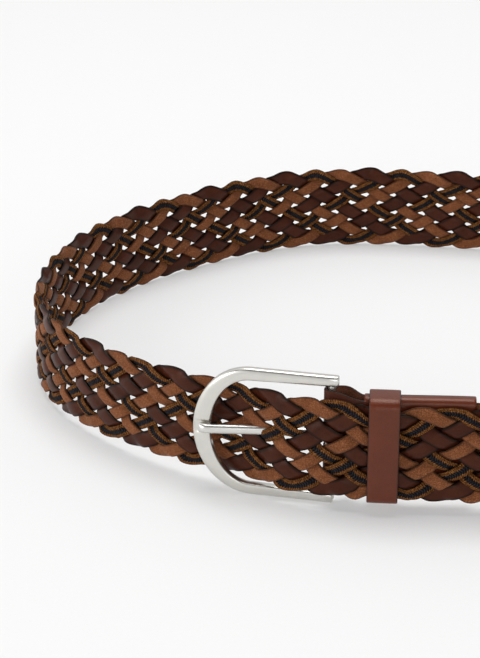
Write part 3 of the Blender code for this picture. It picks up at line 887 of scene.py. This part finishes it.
def fold_point(travel):
    """Middle of the fold's leather, from the front wall (0) round the bar (1 to 2) to the back wall (3)."""
    run = CHAPE_START + FOLD_LAP
    bar = LOOP.at(0.0, BAR_INWARD, 0.0) / MM
    forward, inward = LOOP.forward(0.0), LOOP.inward(0.0)
    front = CHAPE_FRONT + LEATHER / 2
    back = CHAPE_FRONT + CHAPE_DEPTH - LEATHER / 2
    if travel <= 1:
        return LOOP.at(run * (1 - travel), front, 0.0)[:2] / MM, run * (1 - travel)
    if travel < 2:
        angle = -math.pi / 2 - math.pi * (travel - 1)
        return bar[:2] + FOLD_RADIUS * (forward * math.cos(angle) + inward * math.sin(angle)), 0.0
    share = travel - 2
    opening = FOLD_OPENING * math.sin(math.pi * min(share * run / CHAPE_START, 1.0)) ** 2
    start = BAR_INWARD + FOLD_RADIUS
    offset = start + (back - start) * float(smooth(share * run / CHAPE_START)) + opening
    return LOOP.at(share * run, offset, 0.0)[:2] / MM, share * run


def fold(finish, flesh):
    """The sleeve's leather where it bends round the bar, in two halves that leave the prong's slot free."""
    front, bend, back = np.linspace(0, 1, 14), np.linspace(1, 2, 25)[1:], np.linspace(2, 3, 24)[1:]
    travels = np.concatenate((front, bend, back))
    middles = [fold_point(travel) for travel in travels]
    points = np.array([point for point, _ in middles])
    along = np.gradient(points, axis=0)
    along /= np.linalg.norm(along, axis=1, keepdims=True)
    across = np.stack((-along[:, 1], along[:, 0]), -1)
    half = FOLD_LEATHER / 2
    slot_low = FRAME_HEIGHT / 2 + PRONG_RISE - PRONG_HALF_HEIGHT - CLEARANCE
    slot_high = FRAME_HEIGHT / 2 + PRONG_RISE + PRONG_HALF_HEIGHT + CLEARANCE
    for part in ("lower", "upper"):
        rows, uv = [], []
        for (point, station), side in zip(middles, across):
            share = float(smooth(station / CHAPE_START))
            at_bar = FRAME_HEIGHT / 2 - ARM_WIDTH - CLEARANCE
            in_sleeve = CHAPE_HEIGHT / 2 - LEATHER
            centre = FRAME_HEIGHT / 2 + (CHAPE_MIDDLE - FRAME_HEIGHT / 2) * share
            reach = at_bar + (in_sleeve - at_bar) * share
            low, high = centre - reach, centre + reach
            slotted = station < CHAPE_START / 2
            if part == "lower":
                high = slot_low if slotted else (slot_low + slot_high) / 2
            else:
                low = slot_high if slotted else (slot_low + slot_high) / 2
            # (out of the leather's middle, height, place from the middle to a cut edge)
            outline = (
                (-half, low + FOLD_BEVEL, 0.8), (-half * 0.5, low, 1.0), (half * 0.5, low, 1.0),
                (half, low + FOLD_BEVEL, 0.8), (half, (low + high) / 2, 0.0),
                (half, high - FOLD_BEVEL, 0.8), (half * 0.5, high, 1.0), (-half * 0.5, high, 1.0),
                (-half, high - FOLD_BEVEL, 0.8), (-half, (low + high) / 2, 0.0),
            )
            rows.append([(point[0] + side[0] * w, point[1] + side[1] * w, z) for w, z, _ in outline])
            uv.append([(station, v) for _, _, v in outline])
        made = grid_object(f"chape_fold_{part}", np.array(rows) * MM, finish, uv)
        made.data.materials.append(flesh)
        ring = len(outline)
        for face in made.data.polygons:
            if face.index < ring * (len(rows) - 1) and face.index % ring in (ring - 2, ring - 1):
                face.material_index = 1
        settle(made, "smooth_leather", "chape")


def chape(finish, fold_in_painted_shade, flesh):
    stations = list(np.linspace(CHAPE_START, CHAPE_END, 40))
    made = sleeve("chape_sleeve", stations, stations, LAYER_STEP,
                  lambda s: CHAPE_MIDDLE - BAND_LIFT + float(LOOP.lift(s)), CHAPE_DEPTH / 2, LEATHER,
                  lambda s: CHAPE_HEIGHT / 2, finish)
    settle(made, "smooth_leather", "chape")
    # the fold gets the darkened leather, painted shade of the frame's arm
    fold(fold_in_painted_shade, flesh)


def strap_tip(finish):
    start, end = LOOP.length + TIP_START, LOOP.length + TIP_END
    reach = TIP_HEIGHT / 2

    def half_height(station):
        into_point = max(0.0, station - (end - reach)) / reach
        return TIP_HEIGHT / 2 * math.sqrt(max(1 - into_point ** 2, TIP_BLUNTNESS))

    straight = list(np.linspace(start, start + TIP_POCKET + CLEARANCE, 12))
    rest = list(np.linspace(straight[-1], end - reach, 8)[1:])
    rounded = [end - reach * (1 - math.sin(math.pi / 2 * i / 24)) for i in range(1, 25)]
    made = sleeve("strap_tip_leather", straight + rest + rounded, straight, 0.0,
                  lambda s: float(LOOP.lift(s)) + BAND_WIDTH / 2, BAND_THICKNESS / 2 + TIP_PROUD,
                  TIP_LEATHER, half_height, finish)
    settle(made, "smooth_leather", "strap_tip")


# Studio

def studio_world(scene):
    """Light all round, more at the left, but dim above the camera."""
    world = bpy.data.worlds.new("studio")
    scene.world = world
    world.use_nodes = True
    tree = world.node_tree
    background = tree.nodes["Background"]
    direction = tree.nodes.new("ShaderNodeTexCoord").outputs["Generated"]
    parts = node(tree, "ShaderNodeSeparateXYZ", Vector=direction)
    ahead = eased(tree, parts.outputs["Y"], -0.05, 0.4, 1.0, 0.0)
    high = eased(tree, parts.outputs["Z"], 0.42, 0.68)
    left = eased(tree, parts.outputs["X"], -0.9, -0.3, WORLD_ROUND + WORLD_LEFT, WORLD_ROUND)
    above_camera = math_node(tree, "MULTIPLY", ahead, high)
    total = node(
        tree, "ShaderNodeMix", {"data_type": "FLOAT"}, Factor=above_camera, A=left, B=WORLD_DIM)
    tree.links.new(total.outputs[0], background.inputs["Strength"])
    background.inputs["Color"].default_value = (1.0, 1.0, 1.0, 1.0)


def studio_floor(scene):
    """A wide sheet of pale paper, which glows a little so that shadows stay light."""
    floor_mesh = bpy.data.meshes.new("floor")
    corners = [(FLOOR_REACH * x, FLOOR_REACH * y, 0) for x, y in ((-1, -1), (1, -1), (1, 1), (-1, 1))]
    floor_mesh.from_pydata(corners, [], [(0, 1, 2, 3)])
    floor = bpy.data.objects.new("floor", floor_mesh)
    scene.collection.objects.link(floor)
    paper, tree, shader = new_material("paper")
    fibres = node(tree, "ShaderNodeTexNoise", Vector=object_space(tree), Scale=900.0, Detail=3.0)
    low, high = FLOOR_TONES
    tone = ramp(tree, fibres.outputs["Fac"], ((0.3, (low, low, low)), (0.7, (high, high, high))))
    tree.links.new(tone, shader.inputs["Base Color"])
    shader.inputs["Roughness"].default_value = 0.7
    shader.inputs["Specular IOR Level"].default_value = 0.1
    shader.inputs["Emission Color"].default_value = (1.0, 1.0, 1.0, 1.0)
    shader.inputs["Emission Strength"].default_value = FLOOR_GLOW
    floor_mesh.materials.append(paper)


def studio_lamps(scene):
    for name, place, aim, size, power in LIGHTS:
        light = bpy.data.lights.new(name, "AREA")
        light.shape = "SQUARE"
        light.size = size
        light.energy = power
        lamp = bpy.data.objects.new(name, light)
        scene.collection.objects.link(lamp)
        lamp.location = place
        lamp.rotation_euler = (Vector(aim) - Vector(place)).to_track_quat("-Z", "Y").to_euler()


def studio_camera(scene):
    camera = bpy.data.objects.new("camera", bpy.data.cameras.new("camera"))
    scene.collection.objects.link(camera)
    camera.location = CAMERA_PLACE
    camera.rotation_euler = (math.radians(90 - CAMERA_DOWN), 0.0, 0.0)
    camera.data.lens = LENS
    camera.data.sensor_width = SENSOR
    camera.data.clip_start = 0.01
    scene.camera = camera


def studio():
    scene = bpy.context.scene
    scene.view_settings.view_transform = "Standard"
    scene.view_settings.look = "None"
    studio_world(scene)
    studio_floor(scene)
    studio_lamps(scene)
    studio_camera(scene)


def main():
    dark, brown, fold_in_painted_shade = [grained_leather(*row) for row in LEATHERS]
    flesh = suede("flesh_side", FLESH_TONES)
    tan = suede("tan_suede", SUEDE_TONES)
    striped = trim("striped_trim", TRIM_EDGE_TONES, TRIM_MIDDLE_TONES)
    satin, bright = [metal(*row) for row in METALS]
    finishes = {"dark": dark, "tan": tan, "striped": striped}
    for number in range(STRANDS):
        made = strand(number, finishes[STRAND_KINDS[number % 3][0]])
        settle(made, "woven_leather", "strap_braid")
    buckle(satin)
    prong(bright)
    chape(brown, fold_in_painted_shade, flesh)
    keeper(brown)
    strap_tip(brown)
    studio()


main()
